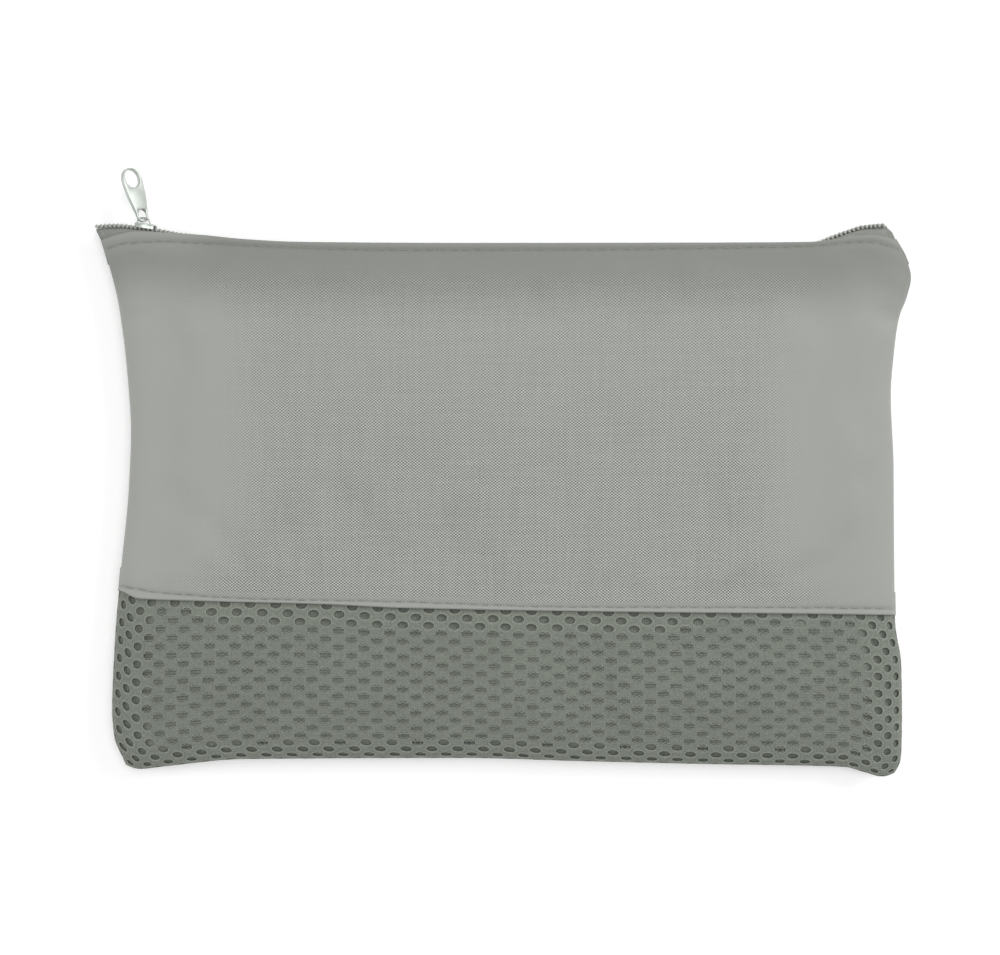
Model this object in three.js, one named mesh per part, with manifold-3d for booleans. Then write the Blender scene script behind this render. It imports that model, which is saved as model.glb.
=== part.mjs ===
// A flat zip pouch lying on its back: a woven upper panel with a mesh panel below it, and a coil
// zip along the top edge. Millimetres. +X along the zip, +Y towards the zip, +Z up off the table.
import * as THREE from "three";
import { mergeVertices } from "three/addons/utils/BufferGeometryUtils.js";
import Module from "manifold-3d";

const wasm = await Module();
wasm.setup();

// Heights of the layers
const SEAM_Z = 5.5; // the height where the front and the back meet
const FRONT_RISE = 3.9; // how far the front puffs up above its own edge
const BACK_DROP = 4.75; // how far the back sinks below its own edge, down to the table
const PUFF_WIDTH = 22; // the rounded border around the flat middle
const PUFF_POWER = 2.2;
const PANEL_THICK = 0.6;
const MESH_THICK = 0.6;
const LINING_THICK = 0.5;
const FRONT_EDGE = 3.6; // outer face of the upper panel above the seam, at its edge
const BACK_EDGE = 0.75; // outer face of the back panel below the seam, at its edge
const LAYER_GAP = 0.3;
const MOUTH_SLOPE = 28; // the front and back come together over this length below the zip
const FRONT_MOUTH = 0.58; // share of the front's puff that is left at the mouth
const BACK_MOUTH = 0.484;

// The zip
const ZIP_Z = 6.9; // the height of the chain's middle
const ZIP_RADIUS = 900; // the closed mouth bows along an arc of this radius
const ZIP_LOW = [15, 61.4]; // the lowest point of that arc
const TAPE_THICK = 0.5;
const TAPE_START = 1.1; // from the chain's middle to the tape's inner edge
const TAPE_MARGIN = 6.5; // the width that is sewn in under the panel
const COIL_INNER = 0.55; // the crests of the coil, from the chain's middle
const COIL_ROOT = 1.0;
const COIL_OUTER = 1.9;
const COIL_UNDER = 0.4; // the coil stands on the outer face of the tape
const COIL_OVER = 1.2;
const COIL_PITCH = 1.2;
const SLIDER_X = -102.5;

// The pull tab
const PULL_LENGTH = 15.75;
const PULL_THICK = 1.3;
const PULL_RING_THICK = 0.7; // where the pull loops through the bridge
const PULL_LEAN = 16.7; // degrees from +Y towards -X
const PULL_TWIST = 46; // degrees about its own length: it lies half over on its side

// Outlines, each as a few points [along, across]
const LEFT_SIDE = [
  [-87, -107.6], [-82, -109.2], [-76, -111.3], [-68, -112], [-48, -111.2], [-28, -109.5],
  [-4, -107.2], [12, -106.6], [28, -107.6], [48, -110.1], [58, -112.5], [66.5, -115], [72, -117],
];
const RIGHT_SIDE = [
  [-87, 112.4], [-80, 113.7], [-70, 113.9], [-55, 113.7], [-42, 111.9], [-18, 111.6],
  [2, 111.5], [22, 110.7], [38, 112], [45, 113.2], [50, 115.2], [56, 116.5], [62, 114.8],
  [67, 112], [72, 110],
];
const BOTTOM_EDGE = [
  [-112, -82.4], [-105, -84.8], [-97, -83.9], [-74, -81.8], [-12, -81.5], [22, -82.4],
  [56, -83.2], [97, -84], [103, -85.5], [108, -86.8], [114, -86.5],
];
const FOLD_EDGE = [
  [-117, 66], [-115, 66.6], [-110, 68], [-104, 68.9], [-97, 68.5], [-85, 67.7], [-74, 66.6],
  [-58, 65.8], [-12, 65.5], [56, 65.6], [87, 65.8], [93, 66.4], [100, 67.7], [105, 68],
  [112, 66.7], [117, 65],
];
const HEM_EDGE = [
  [-112, -33.2], [-109.5, -33.6], [-104, -35.8], [-88, -36.4], [-50, -37.4], [-30, -38.4],
  [39, -39.6], [87, -40.1], [114, -40.6],
];
const HEM_STITCH = [
  [-112, -31.8], [-108.5, -32.3], [-101, -33.6], [-88, -34.7], [-74, -35.6], [-30, -36.5],
  [18, -38], [87, -38.2], [114, -38.7],
];
const MOUTH_STITCH = [
  [-116, 62.9], [-112, 64.4], [-107, 65.5], [-99, 65.9], [-80, 65.2], [-60, 64.2], [-30, 63.5],
  [20, 63.6], [60, 64.1], [85, 64.6], [98, 65.6], [104.5, 65.9], [109.5, 64.9], [115, 63],
];
// The ends of the zip leave the arc, beyond the slider's travel.
const CHAIN_LIFT = [
  [-117, -1.5], [-112, -0.4], [-108, 0], [-100, 0], [86, 0], [90, 0.5], [93.5, 1.6],
  [98.5, 3.0], [103, 3.9], [107, 3.8], [112, 1.9],
];

const SIDE_CUTS = [0, 1, 2.5, 5, 8, 12, 17, 22.5];
const MOUTH_CUTS = [0, 2.5, 6, 11, 17, 23, 28];

const lerp = (a, b, t) => a + (b - a) * t;
const clamp01 = (t) => Math.min(1, Math.max(0, t));

// A smooth curve through a few points, flat at each local high and low.
function through(points, at) {
  const last = points.length - 1;
  if (at <= points[0][0]) return points[0][1];
  if (at >= points[last][0]) return points[last][1];
  let i = 0;
  while (points[i + 1][0] < at) i++;
  const slope = (k) => (points[k + 1][1] - points[k][1]) / (points[k + 1][0] - points[k][0]);
  const tangent = (k) => {
    if (k === 0) return slope(0);
    if (k === last) return slope(last - 1);
    const before = slope(k - 1);
    const after = slope(k);
    return before * after <= 0 ? 0 : (2 * before * after) / (before + after);
  };
  const span = points[i + 1][0] - points[i][0];
  const t = (at - points[i][0]) / span;
  const rise = points[i + 1][1] - points[i][1];
  const start = tangent(i) * span;
  const end = tangent(i + 1) * span;
  return points[i][1] + t * (start + t * (3 * rise - 2 * start - end + t * (start + end - 2 * rise)));
}

const leftX = (y) => through(LEFT_SIDE, y);
const rightX = (y) => through(RIGHT_SIDE, y);
const bottomY = (x) => through(BOTTOM_EDGE, x);
const foldY = (x) => through(FOLD_EDGE, x);
const hemY = (x) => through(HEM_EDGE, x);

// The rounded border: 0 on the edge, 1 from PUFF_WIDTH inwards.
function ramp(distance) {
  const t = clamp01(distance / PUFF_WIDTH);
  return (1 - (1 - t) ** PUFF_POWER) ** (1 / PUFF_POWER);
}

function puff(x, y, mouthShare) {
  const sides = ramp(x - leftX(y)) * ramp(rightX(y) - x);
  const t = clamp01((foldY(x) - y) / MOUTH_SLOPE);
  const mouth = lerp(mouthShare, 1, t * t * (3 - 2 * t));
  return sides * ramp(y - bottomY(x)) * mouth;
}

// Outer faces of the front and of the back, above the table.
const frontZ = (x, y) => SEAM_Z + FRONT_EDGE + FRONT_RISE * puff(x, y, FRONT_MOUTH);
const backZ = (x, y) => SEAM_Z - BACK_EDGE - BACK_DROP * puff(x, y, BACK_MOUTH);

// The point a share u of the way across and w of the way from one line up to another.
function spot(u, w, low, high) {
  let x = 0;
  let y = 0;
  for (let i = 0; i < 12; i++) {
    y = lerp(low(x), high(x), w);
    x = lerp(leftX(y), rightX(y), u);
  }
  return [x, y];
}

// A box cut into cells at the given shares, with every corner put in place by a function.
function shapedBox(acrossCuts, upCuts, place) {
  const across = acrossCuts.length - 1;
  const up = upCuts.length - 1;
  const box = new THREE.BoxGeometry(across, up, 1, across, up, 1);
  const position = box.getAttribute("position");
  for (let i = 0; i < position.count; i++) {
    const u = acrossCuts[Math.round(position.getX(i) + across / 2)];
    const w = upCuts[Math.round(position.getY(i) + up / 2)];
    position.setXYZ(i, ...place(u, w, position.getZ(i) > 0));
  }
  box.computeVertexNormals();
  return box;
}

// A closed body swept through rings of points; ringAt gives the ring at each station, and outline
// is the same ring seen along the sweep, for the end caps.
function sweptBody(stations, ringAt, outline) {
  const rings = stations.map(ringAt);
  const size = rings[0].length;
  const positions = rings.flat(2);
  const index = [];
  for (let s = 0; s + 1 < rings.length; s++) {
    for (let k = 0; k < size; k++) {
      const a = s * size + k;
      const b = s * size + ((k + 1) % size);
      index.push(a, b, b + size, a, b + size, a + size);
    }
  }
  const shape = outline.map(([x, y]) => new THREE.Vector2(x, y));
  const last = (rings.length - 1) * size;
  for (const [a, b, c] of THREE.ShapeUtils.triangulateShape(shape, [])) {
    index.push(c, b, a, last + a, last + b, last + c);
  }
  const body = new THREE.BufferGeometry();
  body.setAttribute("position", new THREE.Float32BufferAttribute(positions, 3));
  body.setIndex(index);
  body.computeVertexNormals();
  return body;
}

function solidOf(geometry) {
  const bare = geometry.clone();
  bare.deleteAttribute("normal");
  bare.deleteAttribute("uv");
  const welded = mergeVertices(bare, 1e-4);
  return new wasm.Manifold(
    new wasm.Mesh({
      numProp: 3,
      vertProperties: welded.attributes.position.array,
      triVerts: new Uint32Array(welded.index.array),
    }),
  );
}

function geometryOf(solid) {
  const mesh = solid.getMesh();
  const shared = new THREE.BufferGeometry();
  shared.setAttribute("position", new THREE.BufferAttribute(mesh.vertProperties, 3));
  shared.setIndex(new THREE.BufferAttribute(mesh.triVerts, 1));
  const faceted = shared.toNonIndexed();
  faceted.computeVertexNormals();
  return faceted;
}

const cloth = (color) => new THREE.MeshStandardMaterial({ color, roughness: 0.85, metalness: 0 });
const nickel = () => new THREE.MeshStandardMaterial({ color: 0xc9cbc8, roughness: 0.25, metalness: 1 });

const pouch = new THREE.Group();

function add(name, geometry, material, parent = pouch) {
  const mesh = new THREE.Mesh(geometry, material);
  mesh.name = name;
  parent.add(mesh);
  return mesh;
}

// Shares across the pouch: close together near both sides, wide apart in the middle.
const WIDTH = 226;
const sideCuts = SIDE_CUTS.map((d) => d / WIDTH);
const middleCuts = [1, 2, 3, 4, 5, 6, 7].map((i) => lerp(sideCuts.at(-1), 1 - sideCuts.at(-1), i / 8));
const acrossCuts = [...sideCuts, ...middleCuts, ...sideCuts.map((s) => 1 - s).reverse()];

// One layer of cloth between two lines; topOf gives its upper face.
function layer(name, low, high, upCuts, topOf, thick, color) {
  const body = shapedBox(acrossCuts, upCuts, (u, w, isTop) => {
    const [x, y] = spot(u, w, low, high);
    return [x, y, topOf(x, y) - (isTop ? 0 : thick)];
  });
  add(name, body, cloth(color));
}

const upperHeight = 105;
const upperCuts = [0, 0.03, 0.06, 0.12, 0.3, 0.52, ...MOUTH_CUTS.map((d) => 1 - d / upperHeight).reverse()];
layer("front_upper_panel", hemY, foldY, upperCuts, frontZ, PANEL_THICK, 0x9fa29c);

// The mesh panel and the lining behind it tuck up under the upper panel's hem.
const lowerHeight = 50;
const lowerCuts = [...SIDE_CUTS.map((d) => d / lowerHeight), 0.6, 0.74, 0.82, 0.88, 0.94, 1];
const meshDown = PANEL_THICK + LAYER_GAP;
const liningDown = meshDown + MESH_THICK + LAYER_GAP;
const meshTopY = (x) => hemY(x) + 5;
const liningTopY = (x) => hemY(x) + 7;
layer("mesh_panel", bottomY, meshTopY, lowerCuts, (x, y) => frontZ(x, y) - meshDown, MESH_THICK, 0x757971);
layer("mesh_backing", bottomY, liningTopY, lowerCuts, (x, y) => frontZ(x, y) - liningDown, LINING_THICK, 0x6b7068);

const backHeight = 149;
const backCuts = [
  ...SIDE_CUTS.map((d) => d / backHeight),
  0.4,
  0.62,
  ...MOUTH_CUTS.map((d) => 1 - d / backHeight).reverse(),
];
layer("back_panel", bottomY, foldY, backCuts, (x, y) => backZ(x, y) + PANEL_THICK, PANEL_THICK, 0x9a9d97);

// Bindings over the raw seam edges inside, between the front and the back.
const BINDING_WIDTH = 6;
const BINDING_INSET = 0.6;
const BINDING_LOW = 0.15;
const BINDING_THICK = 0.85;
const BINDING_FOLDED = 2.5; // the side bindings fill the seam beside the upper panel
const bindingZ = (isTop, thick = BINDING_THICK) => SEAM_Z + BINDING_LOW + (isTop ? thick : 0);
const bindingCuts = [0, 0.05, 0.1, 0.17, 0.25, 0.36, 0.405, 0.44, 0.6, 0.75, 0.85, 0.93, 1];
for (const side of ["left", "right"]) {
  const body = shapedBox([0, 1], bindingCuts, (u, w, isTop) => {
    const y = lerp(-80, 56, w);
    const inset = BINDING_INSET + BINDING_WIDTH * (side === "left" ? u : 1 - u);
    const x = side === "left" ? leftX(y) + inset : rightX(y) - inset;
    return [x, y, bindingZ(isTop, lerp(BINDING_THICK, BINDING_FOLDED, clamp01((y + 24) / 4)))];
  });
  add("side_binding_" + side, body, cloth(0x85887f));
}
const bottomBinding = shapedBox([0, 0.1, 0.2, 0.4, 0.6, 0.8, 0.9, 1], [0, 1], (u, w, isTop) => {
  const x = lerp(-102, 104, u);
  return [x, bottomY(x) + BINDING_INSET + BINDING_WIDTH * w, bindingZ(isTop)];
});
add("bottom_binding", bottomBinding, cloth(0x85887f));

// The zip's chain: an arc in plan, with a normal that points out of the mouth.
const arcCentre = new THREE.Vector2(ZIP_LOW[0], ZIP_LOW[1] + ZIP_RADIUS);
function chainY(x) {
  const dx = x - arcCentre.x;
  return arcCentre.y - Math.sqrt(ZIP_RADIUS ** 2 - dx * dx) + through(CHAIN_LIFT, x);
}
function chainNormal(x) {
  const step = 0.5;
  const slope = (chainY(x + step) - chainY(x - step)) / (2 * step);
  return new THREE.Vector2(-slope, 1).normalize();
}

// A point out of the mouth by n and up by z from the chain.
function chainPoint(x, n, z) {
  const normal = chainNormal(x);
  return [x + normal.x * n, chainY(x) + normal.y * n, ZIP_Z + z];
}

const ZIP_LEFT = -115.4;
const ZIP_RIGHT = 111;
const END_SET_BACK = 3.2; // at its ends the tape lies flat, this far behind the chain

// One tape: a web beside the chain, then a margin that runs in under the panel.
function tapeRing(share, side) {
  const slant = (n) => lerp(ZIP_LEFT - 0.5 * n, ZIP_RIGHT, share);
  const underPanel = (x, y) =>
    side > 0
      ? frontZ(x, y) - PANEL_THICK - ZIP_Z
      : ZIP_Z - backZ(x, y) - PANEL_THICK;
  const x0 = slant(0);
  const upright = Math.min(ramp(x0 + 115), ramp(112.5 - x0));
  const back = -END_SET_BACK * (1 - upright);
  const heightAt = (n) => {
    const [x, y] = chainPoint(slant(n), n, 0);
    return underPanel(x, y) - 0.62;
  };
  const knee = [back, heightAt(back)];
  const far = [back - TAPE_MARGIN, heightAt(back - TAPE_MARGIN)];
  const web = new THREE.Vector2(knee[0], knee[1] - TAPE_START).normalize();
  const margin = new THREE.Vector2(-1, 0);
  const webOut = new THREE.Vector2(web.y, -web.x);
  const marginOut = new THREE.Vector2(-margin.y, -margin.x);
  const corner = webOut.clone().add(marginOut).divideScalar(1 + webOut.dot(marginOut));
  const half = TAPE_THICK / 2;
  const flat = [
    [webOut.x * half, TAPE_START + webOut.y * half],
    [knee[0] + corner.x * half, knee[1] + corner.y * half],
    [far[0], far[1] + half],
    [far[0], far[1] - half],
    [knee[0] - corner.x * half, knee[1] - corner.y * half],
    [-webOut.x * half, TAPE_START - webOut.y * half],
  ];
  const ring = flat.map(([n, z]) => chainPoint(slant(Math.min(0, n)), n, side * z));
  return side > 0 ? ring : ring.reverse();
}

// Extra stations where the chain leaves its arc.
const tapeCuts = [...acrossCuts, 0.86, 0.875, 0.888, 0.912, 0.936].sort((a, b) => a - b);
const tapeOutline = [[0.25, 1], [0.25, 3.5], [-6.5, 3.5], [-6.5, 3], [-0.25, 3], [-0.25, 1]];
for (const side of [1, -1]) {
  const name = side > 0 ? "zip_tape_front" : "zip_tape_back";
  const outline = side > 0 ? tapeOutline : tapeOutline.map(([n, z]) => [n, -z]).reverse();
  add(name, sweptBody(tapeCuts, (share) => tapeRing(share, side), outline), cloth(0x8c8f89));
}

// One row of coil loops: a comb whose crests point at the chain's middle.
const loops = Math.round((ZIP_RIGHT - ZIP_LEFT) / COIL_PITCH);
const coilStations = Array.from({ length: 2 * loops + 1 }, (_, i) => i);
for (const side of [1, -1]) {
  const name = side > 0 ? "zip_coil_front" : "zip_coil_back";
  const middle = (COIL_UNDER + COIL_OVER) / 2;
  const ringAt = (i) => {
    const x = lerp(ZIP_LEFT, ZIP_RIGHT, i / (2 * loops));
    const crest = i % 2 === (side > 0 ? 0 : 1) ? COIL_INNER : COIL_ROOT;
    const ring = [[middle, crest], [COIL_OVER, COIL_OUTER], [COIL_UNDER, COIL_OUTER]];
    const placed = ring.map(([n, z]) => chainPoint(x, n, side * z));
    return side > 0 ? placed : placed.reverse();
  };
  const outline = [[middle, COIL_INNER], [COIL_OVER, COIL_OUTER], [COIL_UNDER, COIL_OUTER]];
  const seen = side > 0 ? outline : outline.map(([n, z]) => [n, -z]).reverse();
  add(name, sweptBody(coilStations, ringAt, seen), cloth(0x9b9e98));
}

// A thread lying along a line on a panel's face.
function thread(name, xFrom, xTo, line, faceZ, side) {
  const stations = acrossCuts.map((share) => lerp(xFrom, xTo, share));
  const half = 0.25;
  const low = 0.2;
  const high = 0.5;
  const flat = [[half, low], [half, high], [-half, high], [-half, low]];
  const ringAt = (x) => {
    const y = line(x);
    const placed = flat.map(([n, z]) => [x, y + n, faceZ(x, y) + side * z]);
    return side > 0 ? placed : placed.reverse();
  };
  const outline = side > 0 ? flat : flat.map(([n, z]) => [n, -z]).reverse();
  add(name, sweptBody(stations, ringAt, outline), cloth(0x8f928c));
}

const mouthStitchY = (x) => through(MOUTH_STITCH, x);
const hemStitchY = (x) => through(HEM_STITCH, x);
thread("zip_topstitch_front", -110, 111, mouthStitchY, frontZ, 1);
thread("zip_topstitch_back", -110, 111, mouthStitchY, backZ, -1);
thread("hem_topstitch", -106, 109, hemStitchY, frontZ, 1);

// The slider, in its own frame: X along the chain, Y out of the mouth, Z across the chain.
const slider = new THREE.Group();
const sliderNormal = chainNormal(SLIDER_X);
slider.position.set(SLIDER_X, chainY(SLIDER_X), ZIP_Z);
slider.rotation.z = Math.atan2(-sliderNormal.x, sliderNormal.y);
pouch.add(slider);

function plate(points, low, high, bevel = 0) {
  const shape = new THREE.Shape(points.map(([x, z]) => new THREE.Vector2(x, -z)));
  const body = new THREE.ExtrudeGeometry(shape, {
    depth: high - low - 2 * bevel,
    bevelEnabled: bevel > 0,
    bevelThickness: bevel,
    bevelSize: bevel,
    bevelOffset: -bevel,
    bevelSegments: 1,
  });
  body.translate(0, 0, low + bevel);
  body.rotateX(-Math.PI / 2);
  return solidOf(body);
}

// Plate outline: broad at the throat, narrower at the tail, with clipped corners.
const plateOutline = (wide, tail) => [
  [-3.1, wide - 0.9], [-2.4, wide], [-0.4, wide], [1.2, tail], [2.4, tail], [3.0, tail - 0.7],
  [3.0, -tail + 0.7], [2.4, -tail], [1.2, -tail], [-0.4, -wide], [-2.4, -wide], [-3.1, 0.9 - wide],
];
const OUTER_PLATE = [1.5, 2.1];
const INNER_PLATE = [-1.75, -0.95];
const RIM_LOW = 0.6;
let sliderSolid = plate(plateOutline(3.1, 2.75), OUTER_PLATE[0], OUTER_PLATE[1], 0.2);
sliderSolid = sliderSolid.add(plate(plateOutline(2.3, 2.1), INNER_PLATE[0], INNER_PLATE[1], 0.2));
for (const side of [1, -1]) {
  const rim = [[-2.5, side * 3.05], [-0.4, side * 3.05], [1.2, side * 2.7], [2.5, side * 2.7],
    [2.5, side * 2.15], [1.0, side * 2.15], [-0.6, side * 2.4], [-2.5, side * 2.4]];
  const points = side > 0 ? rim : rim.reverse();
  sliderSolid = sliderSolid.add(plate(points, RIM_LOW, OUTER_PLATE[0] + 0.3));
}
const post = [[-2.7, 0], [-2.1, 0.3], [-1.2, 0.3], [-0.6, 0], [-1.2, -0.3], [-2.1, -0.3]];
sliderSolid = sliderSolid.add(plate(post, INNER_PLATE[0] + 0.3, OUTER_PLATE[0] + 0.3));

// The bridge that holds the pull: a flat wire bent over the outer plate.
const BRIDGE_X = -0.8;
const bridgePath = new THREE.CatmullRomCurve3(
  [[-1.85, 1.8], [-1.82, 2.8], [-1.15, 3.6], [0, 3.75], [1.15, 3.6], [1.82, 2.8], [1.85, 1.8]].map(
    ([x, y]) => new THREE.Vector3(BRIDGE_X + x, y, 0),
  ),
);
const wire = new THREE.Shape([
  new THREE.Vector2(-0.22, -0.15), new THREE.Vector2(-0.1, -0.27), new THREE.Vector2(0.1, -0.27),
  new THREE.Vector2(0.22, -0.15), new THREE.Vector2(0.22, 0.15), new THREE.Vector2(0.1, 0.27),
  new THREE.Vector2(-0.1, 0.27), new THREE.Vector2(-0.22, 0.15),
]);
const bridge = new THREE.ExtrudeGeometry(wire, { steps: 14, extrudePath: bridgePath, bevelEnabled: false });
sliderSolid = sliderSolid.add(solidOf(bridge));
add("slider_body", geometryOf(sliderSolid), nickel(), slider);

// The pull tab, in its own frame: Y along its length from the bar under the bridge, Z through it.
const pull = new THREE.Group();
const PULL_PIVOT = [BRIDGE_X, 2.85];
pull.position.set(PULL_PIVOT[0], PULL_PIVOT[1], 0);
pull.rotation.order = "ZYX";
pull.rotation.z = THREE.MathUtils.degToRad(PULL_LEAN) - slider.rotation.z;
pull.rotation.y = THREE.MathUtils.degToRad(90 - PULL_TWIST);
slider.add(pull);

// A plate with a large window near its free end, and a thinner ring at the bridge end.
function pullPlate(thick, low, high) {
  const outline = new THREE.Shape();
  outline.moveTo(-0.7, -0.35);
  outline.lineTo(0.7, -0.35);
  outline.bezierCurveTo(1.5, -0.2, 1.95, 0.5, 1.95, 1.4);
  outline.lineTo(2.6, 11.2);
  outline.bezierCurveTo(2.75, 14.4, 1.5, PULL_LENGTH, 0, PULL_LENGTH);
  outline.bezierCurveTo(-1.5, PULL_LENGTH, -2.75, 14.4, -2.6, 11.2);
  outline.lineTo(-1.95, 1.4);
  outline.bezierCurveTo(-1.95, 0.5, -1.5, -0.2, -0.7, -0.35);
  const eye = new THREE.Path();
  eye.moveTo(-0.8, 0.35);
  eye.bezierCurveTo(-1.2, 0.6, -1.3, 1.1, -1.3, 1.6);
  eye.bezierCurveTo(-1.3, 3.4, 1.3, 3.4, 1.3, 1.6);
  eye.bezierCurveTo(1.3, 1.1, 1.2, 0.6, 0.8, 0.35);
  eye.lineTo(-0.8, 0.35);
  const window = new THREE.Path();
  window.absellipse(0, 12.55, 1.95, 2.65, 0, Math.PI * 2, true);
  outline.holes.push(eye, window);
  const body = new THREE.ExtrudeGeometry(outline, {
    depth: thick - 0.3,
    bevelEnabled: true,
    bevelThickness: 0.15,
    bevelSize: 0.12,
    bevelOffset: -0.12,
    bevelSegments: 1,
    curveSegments: 7,
  });
  body.translate(0, 0, -(thick - 0.3) / 2);
  const band = new THREE.BoxGeometry(8, high - low, 4);
  band.translate(0, (low + high) / 2, 0);
  return solidOf(body).intersect(solidOf(band));
}
const pullSolid = pullPlate(PULL_THICK, 2.9, 20).add(pullPlate(PULL_RING_THICK, -2, 3.1));
add("pull_tab", geometryOf(pullSolid), nickel(), pull);

// The part's frame: the centre of its bounding box, on the table.
const MIDDLE = [0.4, 0.25];
pouch.position.set(-MIDDLE[0], -MIDDLE[1], 0);
const part = new THREE.Group();
part.add(pouch);

export default part;
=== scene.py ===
import math

import bmesh
import bpy
import numpy as np
from mathutils import Matrix, Vector


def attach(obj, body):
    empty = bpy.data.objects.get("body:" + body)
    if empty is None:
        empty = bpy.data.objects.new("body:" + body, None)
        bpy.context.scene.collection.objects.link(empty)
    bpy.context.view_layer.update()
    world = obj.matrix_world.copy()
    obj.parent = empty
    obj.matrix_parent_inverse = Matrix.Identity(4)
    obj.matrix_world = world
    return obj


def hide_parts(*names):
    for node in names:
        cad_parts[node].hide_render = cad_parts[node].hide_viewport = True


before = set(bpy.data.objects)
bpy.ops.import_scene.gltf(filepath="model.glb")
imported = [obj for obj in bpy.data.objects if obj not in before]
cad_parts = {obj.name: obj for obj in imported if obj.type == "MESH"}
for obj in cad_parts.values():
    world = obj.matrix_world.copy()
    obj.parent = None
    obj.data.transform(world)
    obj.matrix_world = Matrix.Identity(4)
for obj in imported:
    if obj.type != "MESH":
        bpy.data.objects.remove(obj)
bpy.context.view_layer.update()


# -------- sizes, in millimetres
MIDDLE = (0.4, 0.25)  # the part's frame starts here in the outlines' own frame
SEAM_Z = 6.9  # the side and bottom seams
TOP_Z = 13.0
FACE_Z = TOP_Z - 0.15  # the front's outer face where it puffs out most
PUFF_WIDTH = 24.0  # the rounded border along the seams
PUFF_POWER = 2.4
FRONT_MOUTH = 0.731  # share of the full puff that is left at the mouth
BACK_MOUTH = 0.645
MOUTH_SLOPE = 28.0  # the puff sinks towards the mouth over this length
EDGE_FADE = 2.5  # creases and ripples fade out this near a seam
BODY_WIDTH = 226.0
CLOTH = 0.35
TAPE_THICK = 0.32
NET_THICK = 0.42
LINING_THICK = 0.3
BINDING_THICK = 0.25
LIP_RADIUS = 0.5  # the fold at the mouth, front
BACK_LIP_RADIUS = 0.6
HEM_RADIUS = 0.55
MOUTH_GROOVE = (0.32, 0.75)  # depth and half width of the valley along a row of stitches
BACK_GROOVE = 0.3
HEM_GROOVE = (0.26, 0.7)
HEM_TUCK, TUCK_START, TUCK_LENGTH = 1.25, 5.0, 5.5  # the net dips under the hem
LEFT_CORNER = (8.0, 0.5)  # reach and shift of the rounded lower corners
RIGHT_CORNER = (4.0, 0.8)

LEFT_SIDE = [
    (-87, -107.6), (-82, -109.2), (-76, -111.3), (-68, -112), (-48, -111.2), (-28, -109.5),
    (-4, -107.2), (12, -106.6), (28, -107.6), (48, -110.1), (58, -112.5), (66.5, -115), (72, -117),
]
RIGHT_SIDE = [
    (-87, 112.4), (-80, 113.7), (-70, 113.9), (-55, 113.7), (-42, 111.9), (-18, 111.6),
    (2, 111.5), (22, 110.7), (38, 112), (45, 113.2), (50, 115.2), (56, 116.5), (62, 114.8),
    (67, 112), (72, 110),
]
BOTTOM_EDGE = [
    (-112, -82.4), (-105, -84.8), (-97, -83.9), (-74, -81.8), (-12, -81.5), (22, -82.4),
    (56, -83.2), (97, -84), (103, -85.5), (108, -86.8), (114, -86.5),
]
FOLD_EDGE = [
    (-117, 66), (-115, 66.6), (-110, 68), (-104, 68.9), (-97, 68.5), (-85, 67.7), (-74, 66.6),
    (-58, 65.8), (-12, 65.5), (56, 65.6), (87, 65.8), (93, 66.4), (100, 67.7), (105, 68),
    (112, 66.7), (117, 65),
]
HEM_EDGE = [
    (-112, -33.2), (-109.5, -33.6), (-104, -35.8), (-88, -36.4), (-50, -37.4), (-30, -38.4),
    (39, -39.6), (87, -40.1), (114, -40.6),
]
HEM_STITCH = [
    (-112, -31.8), (-108.5, -32.3), (-101, -33.6), (-88, -34.7), (-74, -35.6), (-30, -36.5),
    (18, -38), (87, -38.2), (114, -38.7),
]
MOUTH_STITCH = [
    (-116, 62.9), (-112, 64.4), (-107, 65.5), (-99, 65.9), (-80, 65.2), (-60, 64.2), (-30, 63.5),
    (20, 63.6), (60, 64.1), (85, 64.6), (98, 65.6), (104.5, 65.9), (109.5, 64.9), (115, 63),
]
CHAIN_LIFT = [
    (-117, -1.5), (-112, -0.4), (-108, 0), (-100, 0), (-92, -0.4), (-60, -0.5), (80, -0.5), (86, 0),
    (90, 0.5), (93.5, 1.6), (98.5, 3.0), (103, 3.9), (107, 3.9), (109.2, 3.7), (110.6, 2.7),
    (111.5, 1.2), (112.2, -1.2), (113, -3),
]
ZIP_RADIUS = 900.0  # the chain lies on this arc, apart from its lifted ends
ZIP_CENTRE = (15.0, 961.4)
ZIP_ENDS = (-116.6, 112.2)
COIL_END = 109.4
COIL_PITCH = 1.2
STITCH = 3.5
SLIDER_X = -102.5


# -------- curves and surfaces
def curve(points):
    """A smooth line through a few points, flat at each local high and low."""
    px = np.array([p[0] for p in points], float)
    py = np.array([p[1] for p in points], float)
    step = np.diff(px)
    slope = np.diff(py) / step
    tangent = np.zeros_like(px)
    tangent[0], tangent[-1] = slope[0], slope[-1]
    before, after = slope[:-1], slope[1:]
    same = before * after > 0
    tangent[1:-1] = np.where(same, 2 * before * after / np.where(same, before + after, 1), 0)

    def at(x):
        x = np.clip(np.asarray(x, float), px[0], px[-1])
        i = np.clip(np.searchsorted(px, x, side="right") - 1, 0, len(step) - 1)
        t = (x - px[i]) / step[i]
        rise = py[i + 1] - py[i]
        start, end = tangent[i] * step[i], tangent[i + 1] * step[i]
        return py[i] + t * (start + t * (3 * rise - 2 * start - end + t * (start + end - 2 * rise)))

    return at


left_x, right_x, bottom_y = curve(LEFT_SIDE), curve(RIGHT_SIDE), curve(BOTTOM_EDGE)
fold_y, hem_y = curve(FOLD_EDGE), curve(HEM_EDGE)
hem_stitch_y, mouth_stitch_y = curve(HEM_STITCH), curve(MOUTH_STITCH)
chain_lift = curve(CHAIN_LIFT)


def smooth(t):
    t = np.clip(t, 0, 1)
    return t * t * (3 - 2 * t)


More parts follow.
